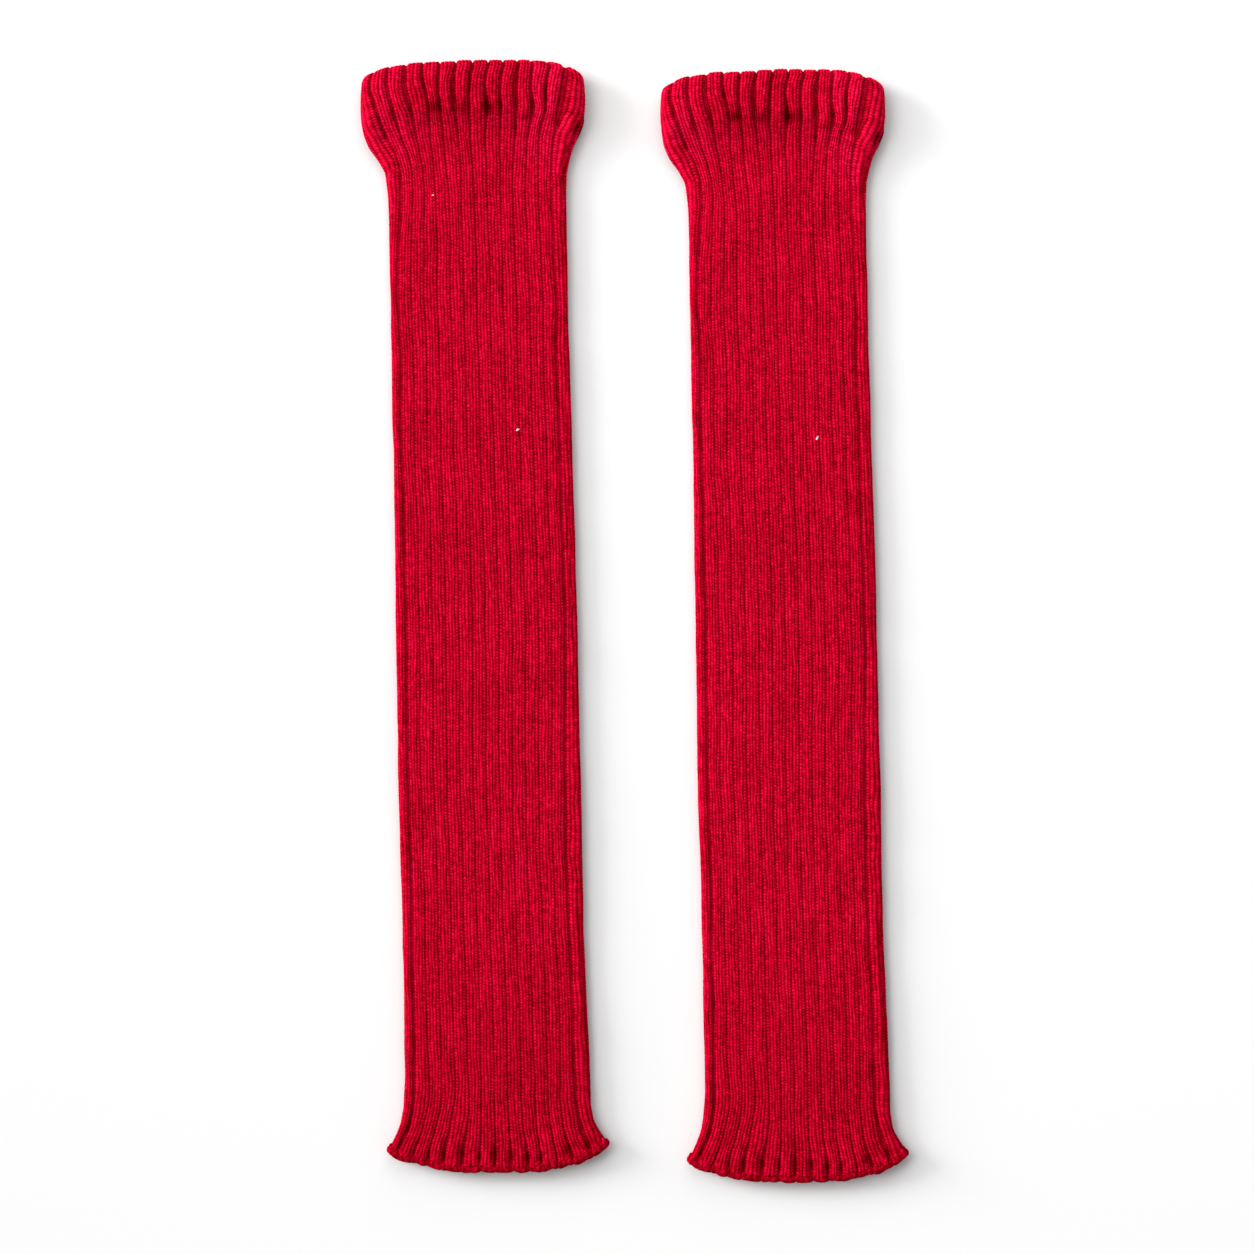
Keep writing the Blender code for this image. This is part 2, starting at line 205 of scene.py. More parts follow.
# How the bound-off edge steps in and out: pixels across and down from its even arc. The steps
# ease in over the last millimetres above the edge.
edgeSteps = np.array(((388, 0), (397, -0.5), (404, -0.6), (411, -2.6), (417, -3.6), (423, -1.6),
                      (429, -2.9), (435, -0.3), (446, -0.6), (452, 0.8), (463, 0.2), (475, -0.2),
                      (481, -2.2), (487, 0.2), (497, -0.6), (503, 0.5), (510, -0.4), (515, -1.7),
                      (521, 1.0), (531, -0.4), (543, 0.8), (552, -1.0), (560, -0.2), (569, -1.8),
                      (577, -0.3), (586, -2.0), (594, -0.4), (605, 0)))
stepsFrom, stepsEase = 578.0, 20.0


# The table as a dictionary of columns.
def named(table, columns):
    return {name: table[:, i] for i, name in enumerate(columns)}


# Every size at the given distances down: straight between the rows, then smoothed by a bell 7 mm
# wide.
def sectionsAt(down):
    fine = np.arange(-20.0, 620.0, 0.5)
    bell = np.hanning(15)
    bell /= bell.sum()
    read = {}
    for name, column in named(sectionRows, sectionColumns).items():
        straight = np.interp(fine, sectionRows[:, 0], column)
        padded = np.pad(straight, 7, mode="edge")
        read[name] = np.interp(down, fine, np.convolve(padded, bell, mode="valid"))
    read["down"] = np.asarray(down, float)
    return read


# 0 below 0, 1 above 1, and three times the square less twice the cube between.
def smoothStep(x):
    x = np.clip(x, 0.0, 1.0)
    return x * x * (3 - 2 * x)


# 1 between first and last, with a smooth step of length ease at each end.
def window(x, first, last, ease):
    return smoothStep((x - first) / ease + 0.5) * smoothStep((last - x) / ease + 0.5)


# Slow uneven change down each column, from -1 to 1: a sum of three sines of random phase, the
# first near the given length, the others shorter and weaker.
def waves(rng, columns, down, length):
    total = np.zeros((len(down), columns))
    shares = (1.0, 0.61, 0.37)
    for share in shares:
        phase = rng.uniform(0, 2 * np.pi, columns)
        stretch = rng.uniform(0.8, 1.25, columns) * length * share
        total += share * np.sin(2 * np.pi * down[:, None] / stretch + phase)
    return total / sum(shares)


# How far a point lies below the middle of its section. The bow is a share of its place's square,
# the shallow arch, and for the rest its eighth power, the corners that turn down. Half the tilt
# times its cube comes off, and in the cuff the lean times its place less its fifth power.
def bowOf(form, share):
    arch = np.where(form["down"] < 300, 0.25, 0.5)
    share = np.clip(share, -1.06, 1.06)
    lean = knit["lean"] * (1 - smoothStep(form["down"] / 60))
    return (form["bow"] * (arch * share**2 + (1 - arch) * share**8)
            - form["tilt"] / 2 * share**3 - lean * share * (1 - share**4))


# Points in the tube's frame: x is the place across plus the section's shift, and y the distance
# down plus the bow and, near the hem, the steps of the bound-off edge.
def pointsOf(form, across, up, share):
    x = across + form["centre"]
    column = x / picture["scale"] + picture["origin"][0]
    steps = np.interp(column, *edgeSteps.T) * picture["scale"]
    steps = steps * smoothStep((form["down"] - stepsFrom) / stepsEase)
    y = -(form["down"] + bowOf(form, share) + steps)
    return np.stack((x, y + 0 * across, up), axis=-1)


# Pixels of the picture, left leg warmer, as x and y in the tube's frame: less the origin, times
# the scale, with y turned upwards.
def fromPicture(spots):
    spots = np.asarray(spots, float)
    return (spots - np.array(picture["origin"])) * picture["scale"] * np.array((1.0, -1.0))


# Each groove's place across as a share of the half width, -1 to 1, at the distances down. The bow
# is taken off the heights read in the picture by going over them three times.
def groovePaths(down):
    leg = [(row[0], *np.linspace(row[1], row[2], 13)) for row in legPaths]
    table = np.array((*cuffPaths, *leg, *hemPaths), float)
    spots = np.stack((table[:, 1:], np.repeat(table[:, :1], 13, axis=1)), axis=-1)
    x, y = np.moveaxis(fromPicture(spots), -1, 0)
    at = -y
    for _ in range(3):
        form = {name: size.reshape(at.shape) for name, size in sectionsAt(at.ravel()).items()}
        share = (x - form["centre"]) / form["half"]
        at = -y - bowOf(form, share)
    paths = [np.interp(down, at[:, k], share[:, k]) for k in range(13)]
    return np.column_stack((np.full(len(down), -1.0), *paths, np.full(len(down), 1.0)))


# The rise of the rounded sides, their reach, which is wide times the rise, the length of one
# quarter ellipse, by the root mean square of the two, and the length of the flat between.
def outlineSizes(half, side, flatHeight, wide):
    rise = flatHeight - side
    reach = wide * np.abs(rise)
    quarter = np.pi / 2 * np.sqrt((rise**2 + reach**2) / 2)
    return rise, reach, quarter, 2 * (half - reach)


# Rounded outline from the left side fold to the right one. A quarter ellipse rises from the fold
# to the flat, a shallow dome crosses it, and another quarter ellipse falls. share runs from 0 to
# 1 by arc length. Returns x, z and the outward normal's two parts.
def outline(half, side, flatHeight, dome, share, wide):
    rise, reach, quarter, flat = outlineSizes(half, side, flatHeight, wide)
    along = share * (2 * quarter + flat)
    turned = np.clip(np.minimum(along, 2 * quarter + flat - along) / quarter, 0, 1)
    angle = turned * np.pi / 2
    sign = np.where(share < 0.5, -1.0, 1.0)
    across = np.where(turned < 1, sign * (half - reach + reach * np.cos(angle)),
                      along - quarter - flat / 2)
    inside = np.clip(1 - (across / (half - reach)) ** 2, 0, 1)
    up = side + rise * np.sin(angle) + np.sign(rise) * dome * inside
    normalX = sign * np.cos(angle) / reach
    normalZ = np.sin(angle) / rise
    size = np.hypot(normalX, normalZ)
    return across, up, normalX / size, normalZ / size


# The outline's share at a place across: its length along the flat, or the length of the quarter
# ellipse by the arc cosine of what is left.
def shareOf(half, side, flatHeight, wide, across):
    rise, reach, quarter, flat = outlineSizes(half, side, flatHeight, wide)
    beyond = np.clip((np.abs(across) - (half - reach)) / reach, 0, 1)
    fromFold = quarter * np.arccos(beyond) / (np.pi / 2)
    along = np.where(across < 0, fromFold, 2 * quarter + flat - fromFold)
    along = np.where(beyond > 0, along, quarter + flat / 2 + across)
    return along / (2 * quarter + flat)


# Half the width of each groove's floor in mm at the distances down: straight between the rows of
# floorRows, plus what single grooves have more.
def grooveFloors(down):
    floor = np.interp(down, *np.array(floorRows).T)
    floor = np.repeat(floor[:, None], knit["ribs"] + 1, axis=1)
    for groove, first, last, more in widerGrooves:
        floor[:, groove] += more * window(down, first, last, 6.0)
    return floor


# Times as deep each groove is at the distances down: 1 plus uneven waves, times what single
# grooves have, and a fixed share at the two side folds.
def grooveDepths(down, rng):
    uneven = np.interp(down, (30, 60, 560, 590), (0.15, 0.6, 0.6, 0.15))[:, None]
    deep = 1 + uneven * waves(rng, knit["ribs"] + 1, down, 70.0)
    for groove, first, last, times in deeperGrooves:
        deep[:, groove] *= 1 + (times - 1) * window(down, first, last, 14.0)
    deep[:, (0, -1)] = knit["foldGroove"]
    return deep


# Sum of the listed hollows and lumps, each a bell of its own two widths, and of the side
# creases, bells across a curve drawn through their three points.
def markHeights(x, y):
    total = 0 * x
    places = fromPicture(marks[:, :2])
    for (atX, atY), (_, _, wide, long, high) in zip(places, marks):
        total += high * np.exp(-((x - atX) / wide) ** 2 - ((y - atY) / long) ** 2)
    for spots, wide, depth in sideCreases:
        at = fromPicture(spots)
        path = np.polyval(np.polyfit(at[:, 1], at[:, 0], 2), np.clip(y, at[2, 1], at[0, 1]))
        ends = window(-y, -at[0, 1], -at[2, 1], 12.0)
        total -= depth * ends * np.exp(-((x - path) / wide) ** 2)
    return total


# Each column's u in wales within one rib: the groove, then steps over the four knit wales
upperWale = np.concatenate(((0.0,), 1 + np.arange(17) / 4))
lowerWale = np.array((0.0, 1.0, 3.0, 5.0))


# The number of its rib and its u within it, for every column on the way round.
def columnsRound():
    upperRib = np.repeat(np.arange(knit["ribs"]), len(upperWale))
    lowerRib = np.repeat(np.arange(knit["ribs"]), len(lowerWale)) + knit["ribs"]
    inRib = np.concatenate((np.tile(upperWale, knit["ribs"]), np.tile(lowerWale, knit["ribs"])))
    return np.concatenate((upperRib, lowerRib)), inRib


# The ribbed upper side as a grid, one row for each distance down and 18 columns a rib. Each point
# is the rounded outline's, moved out along its normal by the rib's hump, less its groove's depth,
# plus a sine's ridge for its wale, slow waves and the listed marks.
def upperFace(down, rng):
    ribs = knit["ribs"]
    rib = np.repeat(np.arange(ribs), len(upperWale))
    wale = np.tile(upperWale, ribs)
    part = np.clip((wale - 1) / 4, 0, 1)                # across the knit wales of a rib
    form = {name: size[:, None] for name, size in sectionsAt(down).items()}
    inCuff = 1 - smoothStep((down[:, None] - knit["cuffEnds"][0]) / knit["cuffEnds"][1])
    nearHem = smoothStep((down[:, None] - knit["hemStarts"][0]) / knit["hemStarts"][1])
    tall = form["rib"] - knit["waleDepth"]
    level = (form["half"] - tall, form["side"], form["crown"] - form["rib"] - knit["dome"])
    # where each groove lies, and from there each column
    wander, wanderLength = knit["grooveWander"]
    paths = groovePaths(down)
    paths[:, 1:-1] += wander * waves(rng, ribs - 1, down, wanderLength) * (1 - inCuff) * (
        1 - nearHem)
    paths = np.clip(paths * form["half"], -level[0], level[0])
    grooveShare = shareOf(*level, knit["sideRound"], paths)
    _, _, quarter, flat = outlineSizes(*level, knit["sideRound"])
    width = np.diff(grooveShare, axis=1) * (2 * quarter + flat)
    floors = grooveFloors(down)
    floors = [np.minimum(side, knit["mostFloor"] * width)[:, rib]
              for side in (floors[:, :-1], floors[:, 1:])]
    left = floors[0] / width[:, rib] * (rib > 0)
    right = floors[1] / width[:, rib] * (rib < ribs - 1)
    jitter = sum(size * waves(rng, ribs, down, 38.0)[:, rib] * np.sin(order * np.pi * part)
                 for order, size in enumerate(knit["waleWander"], 1))
    across = np.where(wale == 0, 0.0, left + (1 - left - right) * (part + jitter))
    place = grooveShare[:, rib] + (grooveShare[:, rib + 1] - grooveShare[:, rib]) * across
    x, up, normalX, normalZ = outline(*level, knit["dome"], place, knit["sideRound"])
    # the ribs, full and flat-topped in the cuff and at the hem, with each groove's own depth
    deep = grooveDepths(down, rng)
    deep = deep[:, rib] * (1 - part) + deep[:, rib + 1] * part
    bar = (1 - np.abs(2 * part - 1) ** 3.6) ** 0.5
    soft = (1 - np.abs(2 * part - 1) ** 3) ** 0.8
    hump = soft + (bar - soft) * np.maximum(inCuff, 0.8 * nearHem)
    # the wales on them, and slow unevenness over the whole leg and along each rib
    number = np.minimum((part * 4).astype(int), 3)
    ridge = np.abs(np.sin(4 * np.pi * part)) ** 0.8
    gain = np.array(knit["waleGain"])[number] * (
        1 + 0.5 * waves(rng, ribs * 4, down, 42.0)[:, rib * 4 + number])
    gain = gain * (1 + 0.4 * (inCuff + nearHem))
    height = tall * (1 - (1 - hump) * deep) + knit["waleDepth"] * ridge * gain
    slow = knit["legWaves"] * waves(rng, 1, down, 130.0)
    slow = slow + knit["ribWaves"] * waves(rng, ribs, down, 55.0)[:, rib] * hump
    height = height + slow * (1 - inCuff)
    pressed = markHeights(x + form["centre"], -form["down"] - bowOf(form, x / form["half"]))
    height = np.maximum(height + pressed, form["rib"] - form["wall"] + knit["leastWall"])
    # painted shade: the yarn's colour darker in the grooves and hollows, more so on a floor that
    # lies wide open, and towards the hem
    dark = np.interp(down, *np.array(darkRows).T)[:, None]
    opened = np.clip((np.maximum(*floors) - 1.4) / 1.2, 0, 1)
    paintedShading = np.clip(1 - (1 - hump) * deep * dark * (1 + knit["openDark"] * opened), 0, 1)
    paintedShading = paintedShading * np.clip(1 + knit["hollowDark"] * np.minimum(pressed, 0), 0.1, 1)
    paintedShading = paintedShading * (1 - knit["hemPaintedShade"] * smoothStep((down[:, None] - 440) / 140))
    # painted light: the yarn's colour lighter at the cuff's sides, further in on the right
    aside = np.abs(2 * place - 1)
    aside = smoothStep((aside - np.where(place < 0.5, 0.52, 0.34)) / 0.28)
    paintedShading = paintedShading * (1 + knit["cuffPaintedLight"] * aside * window(down[:, None], -20, 58, 36))
    return pointsOf(form, x + normalX * height, up + normalZ * height, x / form["half"]), \
        paintedShading, place


# The underside as a grid, from the right side fold to the left: the outline turned downwards, its
# ribs pressed to a low hump between grooves.
def lowerFace(down):
    ribs = knit["ribs"]
    rib = np.repeat(np.arange(ribs), len(lowerWale))
    wale = np.tile(lowerWale, ribs)
    form = {name: size[:, None] for name, size in sectionsAt(down).items()}
    place = 1 - (rib + wale / 6) / ribs + 0 * form["half"]
    tall = form["rib"] - knit["waleDepth"]
    half = form["half"] - knit["foldGroove"] * tall
    x, up, normalX, normalZ = outline(half, form["side"], form["base"] + knit["underDepth"],
                                      0.0, place, 0.9)
    hump = np.where(wale == 0, 0.0, 1.0) * np.clip(np.minimum(place, 1 - place) / 0.06, 0, 1)
    height = knit["underDepth"] * hump
    x = x + normalX * height
    up = np.maximum(up + normalZ * height, form["base"])
    # painted shade: the yarn's colour darker in the underside's grooves
    return pointsOf(form, x, up, x / form["half"]), 0.25 + 0.75 * hump, place


# The plain inside, inset mm inside the wall, as a grid over the given places on the way round: 0
# to 1 over the top from the left, 1 to 2 back underneath. Both are the rounded outline about one
# middle height.
def plainFace(down, inset, place, wall):
    form = {name: np.atleast_1d(size)[:, None] for name, size in sectionsAt(down).items()}
    high = form["crown"] - form["wall"] - inset
    low = form["base"] + knit["underWall"] + inset
    middle = (high + low) / 2
    half = form["half"] - wall - inset
    top = outline(half, middle, high, 0.0, np.clip(place, 0, 1) + 0 * half, 1.1)
    under = outline(half, middle, low, 0.0, np.clip(2 - place, 0, 1) + 0 * half, 1.1)
    across = np.where(place <= 1, top[0], under[0])
    up = np.where(place <= 1, top[1], under[1])
    return pointsOf(form, across, up, across / form["half"])


# The rounded fold at the top: half circles from the outer ring to the inner one, lifted by a
# sine, each rib by its own amount and less at the grooves, which scallops the edge.
def foldOver(outer, inner, part, rng):
    angle = np.linspace(0, np.pi, turning["foldRows"] + 2)[1:-1][:, None, None]
    turned = (outer + inner) / 2 + (outer - inner) / 2 * np.cos(angle)
    scallop = 1 - np.abs(2 * part - 1) ** 3.5
    bumps = turning["bumps"] * np.abs(np.sin(6 * np.pi * part))
    own = 1 + 0.12 * rng.uniform(-1, 1, knit["ribs"] * 2)
    own = np.concatenate((np.repeat(own[:knit["ribs"]], len(upperWale)),
                          np.repeat(own[knit["ribs"]:], len(lowerWale))))
    rise = turning["rise"] * own * (1 - turning["notch"] * (1 - scallop))
    turned[..., 1] += (rise + bumps) * np.sin(angle[..., 0])
    return turned


# All rings of one tube: the fine ones from the hem up the outside, over the fold and down the
# turned-in face, then the coarse ones round the turning's edge and down the inside.
def tubeGrid(side):
    rng = np.random.default_rng(knit["seed"] + (side == "right"))
    down = np.concatenate([np.linspace(a, b, n, endpoint=False) for a, b, n in knit["rows"]])
    down = np.append(down, sectionRows[-1, 0])
    upper, paintedShadingUp, placeUp = upperFace(down, rng)
    lower, paintedShadingLow, placeLow = lowerFace(down)
    outside = np.concatenate((upper, lower), axis=1)
    paintedShading = np.concatenate((paintedShadingUp, paintedShadingLow), axis=1)
    place = np.concatenate((placeUp, 2 - placeLow), axis=1)
    ribOf, inRib = columnsRound()
    wale = ribOf * knit["walesPerRib"] + inRib
    first = float(down[0])
    face = turning["gap"] + turning["wall"]
    faceDown = np.linspace(first, turning["depth"] - 1.0, turning["faceRows"])
    turned = plainFace(faceDown, face, place[0], turning["sideWall"])
    fold = foldOver(outside[0], turned[0], inRib / knit["walesPerRib"], rng)
    fine = np.concatenate((outside[::-1], fold, turned))
    foldCourse = -np.linspace(0, turning["foldLength"], len(fold) + 2)[1:-1]
    course = np.concatenate((down[::-1], first + foldCourse,
                             first - turning["foldLength"] - faceDown))
    # painted shade: the fold takes the first ring's, and the turned-in face inside the cuff a
    # fixed darker value
    top = np.repeat(paintedShading[:1], len(fold), axis=0)
    paintedShadingGrid = np.concatenate((paintedShading[::-1], top, np.full(turned.shape[:2], 0.6)))
    atCuff, atHem = place[0, ::4], place[-1, ::4]
    slitTop = first + 1.0
    inner = np.concatenate(((slitTop, *innerRows[0]), np.linspace(*innerRows[1]), innerRows[2]))
    mix = (inner / inner[-1])[:, None]
    edgeInset = turning["gap"] + turning["wall"] / 2
    backDown = np.array((turning["depth"] - 1, turning["depth"] / 2, slitTop))
    coarse = np.concatenate((
        plainFace(turning["depth"], edgeInset, atCuff, turning["sideWall"]),
        plainFace(backDown, turning["gap"], atCuff, turning["sideWall"]),
        plainFace(inner, 0.0, atCuff * (1 - mix) + atHem * mix, turning["sideWall"]),
    ))
    return fine, coarse, wale, course, paintedShadingGrid, place[-1]


# Quads between neighbouring rings, where each row of the grid holds one closed ring's points.
def ringQuads(grid):
    right = np.roll(grid, -1, axis=-1)
    quads = np.stack((grid[..., :-1, :], right[..., :-1, :], right[..., 1:, :],
                      grid[..., 1:, :]), axis=-1)
    return quads.reshape(-1, 4)


# Faces of the closed shell. Quads join neighbouring rings of one kind, and where the fine rings
# meet the coarse ones four cells fan into one.
def closedFaces(fineShape, coarseShape):
    rows, columns = fineShape
    fine = np.arange(rows * columns).reshape(rows, columns)
    coarse = rows * columns + np.arange(coarseShape[0] * coarseShape[1]).reshape(coarseShape)

    def fan(fineRing, coarseRing, flip):
        f = [fineRing[i::4] for i in range(4)] + [np.roll(fineRing[::4], -1)]
        c, d = coarseRing, np.roll(coarseRing, -1)
        corners = ((f[0], f[1], c), (f[1], f[2], c), (f[2], d, c), (f[2], f[3], d),
                   (f[3], f[4], d))
        faces = np.concatenate([np.stack(corner, axis=-1) for corner in corners])
        return faces[:, ::-1] if flip else faces

    triangles = np.concatenate((fan(fine[-1], coarse[0], False), fan(fine[0], coarse[-1], True)))
    return np.concatenate((ringQuads(fine), ringQuads(coarse))), triangles


# A smooth-shaded mesh from whole arrays of points, quads and triangles.
def makeMesh(name, points, quads, triangles=None):
    mesh = bpy.data.meshes.new(name)
    faces = quads.tolist() + ([] if triangles is None else triangles.tolist())
    mesh.from_pydata(points.tolist(), [], faces)
    mesh.shade_smooth()
    return mesh


# Writes a UV map from a value for each point. Where a face crosses the seam between the last
# column and the first, the first one's u counts on by a whole turn.
def setUv(mesh, u, v, wrap):
    corners = np.empty(len(mesh.loops), np.int32)
    mesh.loops.foreach_get("vertex_index", corners)
    starts = np.empty(len(mesh.polygons), np.int32)
    totals = np.empty(len(mesh.polygons), np.int32)
    mesh.polygons.foreach_get("loop_start", starts)
    mesh.polygons.foreach_get("loop_total", totals)
    faceOf = np.repeat(np.arange(len(starts)), totals)
    cornerU = u[corners]
    highest = np.maximum.reduceat(cornerU, starts)
    crosses = (highest[faceOf] - cornerU) > wrap / 2
    pairs = np.column_stack((cornerU + wrap * crosses, v[corners])).astype(np.float32)
    layer = mesh.uv_layers.new(name="knitMap")
    layer.data.foreach_set("uv", pairs.ravel())


# Writes the painted light and shade at each point: 1 is plain, less where shade is painted in
# hollows and grooves.
def setPaintedShading(mesh, values):
    attribute = mesh.attributes.new("paintedShading", "FLOAT", "POINT")
    attribute.data.foreach_set("value", np.asarray(values, np.float32).ravel())


# Where a tube's own frame lies, in mm, from its solid's box: the crown is the box's top, and the
# cuff's left side is 67.2 mm left of the middle.
def tubePlace(side):
    low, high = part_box(side + "_tube")
    return np.array((low[0] / mm + 67.2, high[1] / mm, 0.0))


# A new object of the scene.
def addObject(name, data):
    thing = bpy.data.objects.new(name, data)
    bpy.context.scene.collection.objects.link(thing)
    return thing


# Links a piece, makes it ride on the root, gives it its material and hides the node of the solid
# that it stands for.
def addPiece(name, mesh, material, node):
    piece = addObject(name, mesh)
    mesh.materials.append(material)
    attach(piece, "root")
    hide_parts(node)
    return piece


# One leg warmer's tube as a closed shell, its ribs and wales raised in the mesh. Its map is u in
# wales round it and v in courses, the distance down over the pitch.
def makeTube(side, grid, material):
    fine, coarse, wale, course, paintedShadingGrid, _ = grid
    quads, triangles = closedFaces(fine.shape[:2], coarse.shape[:2])
    points = np.concatenate((fine.reshape(-1, 3), coarse.reshape(-1, 3)))
    mesh = makeMesh(side + "Tube", (points + tubePlace(side)) * mm, quads, triangles)
    coarseWale = np.tile(wale[::4], coarse.shape[0])
    u = np.concatenate((np.tile(wale, fine.shape[0]), coarseWale))
    v = np.concatenate((np.repeat(course, fine.shape[1]), -points[-coarseWale.size:, 1]))
    setUv(mesh, u, v / knit["coursePitch"], knit["ribs"] * 2 * knit["walesPerRib"])
    # painted shade: the plain inside takes a fixed darker value
    setPaintedShading(mesh, np.concatenate((paintedShadingGrid.ravel(), np.full(coarseWale.size, 0.6))))
    return addPiece(side + "Tube", mesh, material, side + "_tube")


# The bound-off edge: a cord of cast-off stitches, in mm
edge = {
    "end": 597.8,                # the wall's lower end, mm down
    "along": 2.2,                # half widths of the cord, along the cloth and through it
    "thick": 1.85,
    "set": 1.0,                  # how far its middle lies past the wall's end
    "inWall": 1.2,               # and outside the inner face
    "lowest": 0.05,              # over the floor
    "points": 1008,
    "sides": 14,
    "lump": 0.18,                # share by which the lumps swell it
    "lumpsPerRib": 2,
    "uneven": 0.16,              # share by which lumps differ
    "seed": 31,
}
# The loops over the cord, two for each rib, in mm
loops = {
    "radius": 0.9,
    "back": 2.4,                 # how far up the cloth they start
    "over": 0.7,                 # how far past the cord's middle they end
    "height": 1.35,              # over the wall's middle
    "slant": 1.1,                # how far they sway along the edge
    "columns": ((5, 13), (1, 3)),    # where they start, of a rib's columns above and below
    "rings": 9,
    "sides": 8,
    "seed": 57,
}


# Middle of the wall's lower end at the given places round it, and three directions there: along
# the edge, out past the cloth's end, and away from the inside.
def edgeFrame(place):
    def ring(at, down):
        return plainFace(down, -edge["inWall"], at, turning["sideWall"])[0]

    step = 0.004
    back = 4.0
    middle = ring(place, edge["end"])
    tangent = ring((place + step) % 2, edge["end"]) - ring((place - step) % 2, edge["end"])
    tangent /= np.linalg.norm(tangent, axis=1, keepdims=True)
    out = middle - ring(place, edge["end"] - back)
    out[:, 2] = 0
    out -= tangent * (out * tangent).sum(axis=1, keepdims=True)
    out /= np.linalg.norm(out, axis=1, keepdims=True)
    return middle, tangent, out, np.cross(out, tangent)


# A closed cord just past the wall's end: an ellipse with lumps along it, two on each rib and
# lower between ribs, each of its own size.
def makeCord(side, hemPlace, material):
    count = edge["points"]
    columns = np.arange(len(hemPlace) + 1)
    turn = np.linspace(0, len(hemPlace), count, endpoint=False)
    place = np.interp(turn, columns, np.append(hemPlace, 2.0))
    ribOf, inRib = columnsRound()
    ribs = np.append(ribOf + inRib / knit["walesPerRib"], 2.0 * knit["ribs"])
    ribs = np.interp(turn, columns, ribs)
    middle, tangent, out, away = edgeFrame(place)
    rng = np.random.default_rng(edge["seed"] + (side == "right"))
    own = 1 + edge["uneven"] * rng.uniform(-1, 1, knit["ribs"] * 4)
    own = np.interp(ribs * 2, np.arange(len(own) + 1), np.append(own, own[0]))
    crown = np.abs(np.sin(np.pi * ribs)) ** 0.6
    angle = np.linspace(0, 2 * np.pi, edge["sides"], endpoint=False)
    lump = np.abs(np.sin(np.pi * (ribs[:, None] * edge["lumpsPerRib"] + 0.22 * np.sin(angle))))
    size = own[:, None] * (0.8 + 0.14 * crown[:, None] + edge["lump"] * lump**0.7)
    centre = middle + out * edge["set"]
    points = centre[:, None] + size[..., None] * (
        out[:, None] * np.cos(angle)[:, None] * edge["along"]
        + away[:, None] * np.sin(angle)[:, None] * edge["thick"])
    points[..., 2] = np.maximum(points[..., 2], edge["lowest"])
    grid = np.arange(count * edge["sides"]).reshape(count, -1)
    after = np.roll(grid, -1, axis=0)
    quads = np.stack((grid, after, np.roll(after, -1, axis=1), np.roll(grid, -1, axis=1)),
                     axis=-1).reshape(-1, 4)
    mesh = makeMesh(side + "BoundEdge", (points.reshape(-1, 3) + tubePlace(side)) * mm, quads)
    setUv(mesh, np.repeat(ribs * 4, edge["sides"]), np.tile(angle, count) * 0.8,
          knit["ribs"] * 8)
    # painted shade: the cord's colour darker between the ribs and between its lumps
    setPaintedShading(mesh, (0.45 + 0.35 * crown[:, None]) * (0.75 + 0.25 * lump))
    return addPiece(side + "BoundEdge", mesh, material, side + "_bound_edge")


# The cast-off loops: short bent strands from the cloth's end over the cord, two for each rib.
# Each runs out by a straight share, stays at the cloth's height and then falls by a power curve,
# swaying by a sine, and its radius is a sine's root along it.
def makeLoops(side, hemPlace, material):
    rib = np.arange(knit["ribs"])[:, None]
    upperPick = rib * len(upperWale) + np.array(loops["columns"][0])
    lowerPick = (knit["ribs"] * len(upperWale) + rib * len(lowerWale)
                 + np.array(loops["columns"][1]))
    place = hemPlace[np.concatenate((upperPick.ravel(), lowerPick.ravel()))]
    count = len(place)
    rng = np.random.default_rng(loops["seed"] + (side == "right"))
    middle, tangent, out, away = edgeFrame(place + 0.003 * rng.uniform(-1, 1, count))
    w = np.linspace(0, 1, loops["rings"])
    reach = -loops["back"] + (loops["back"] + edge["set"] + loops["over"]) * w
    lift = loops["height"] * (1 - np.clip((w - 0.5) / 0.5, 0, 1) ** 2.4 * 0.95)
    lift -= 1.1 * np.clip(1 - w / 0.25, 0, 1) ** 2
    leaning = np.where(np.arange(count) % 2, -1.0, 1.0) * rng.uniform(0.5, 1.3, count)
    sway = loops["slant"] * leaning[:, None] * np.sin(np.pi * (w - 0.1))
    size = rng.uniform(0.8, 1.25, count)[:, None]
    path = middle[:, None] + out[:, None] * reach[:, None] * (0.9 + 0.1 * size[..., None]) \
        + away[:, None] * lift[:, None] + tangent[:, None] * sway[..., None]
    along = np.gradient(path, axis=1)
    along /= np.linalg.norm(along, axis=2, keepdims=True)
    sideways = tangent[:, None] - along * (tangent[:, None] * along).sum(axis=2, keepdims=True)
    sideways /= np.linalg.norm(sideways, axis=2, keepdims=True)
    upward = np.cross(along, sideways)
    angle = np.linspace(0, 2 * np.pi, loops["sides"], endpoint=False)
    radius = 0.35 + 0.65 * np.sin(np.pi * np.clip(w, 0.04, 0.96)) ** 0.5
    radius = loops["radius"] * size * radius
    points = path[:, :, None] + radius[..., None, None] * (
        sideways[:, :, None] * np.cos(angle)[:, None]
        + upward[:, :, None] * np.sin(angle)[:, None])
    points[..., 2] = np.maximum(points[..., 2], edge["lowest"])
    grid = np.arange(count * len(w) * len(angle)).reshape(count, len(w), len(angle))
    mesh = makeMesh(side + "EdgeLoops", (points.reshape(-1, 3) + tubePlace(side)) * mm,
                    ringQuads(grid))
    numbers = np.arange(count) + 0.5
    setUv(mesh, np.repeat(numbers, len(w) * len(angle)),
          np.tile(np.repeat(w * 3, len(angle)), count), 1e6)
    setPaintedShading(mesh, np.full(points.size // 3, 0.72))
    return addPiece(side + "EdgeLoops", mesh, material, side + "_bound_edge")


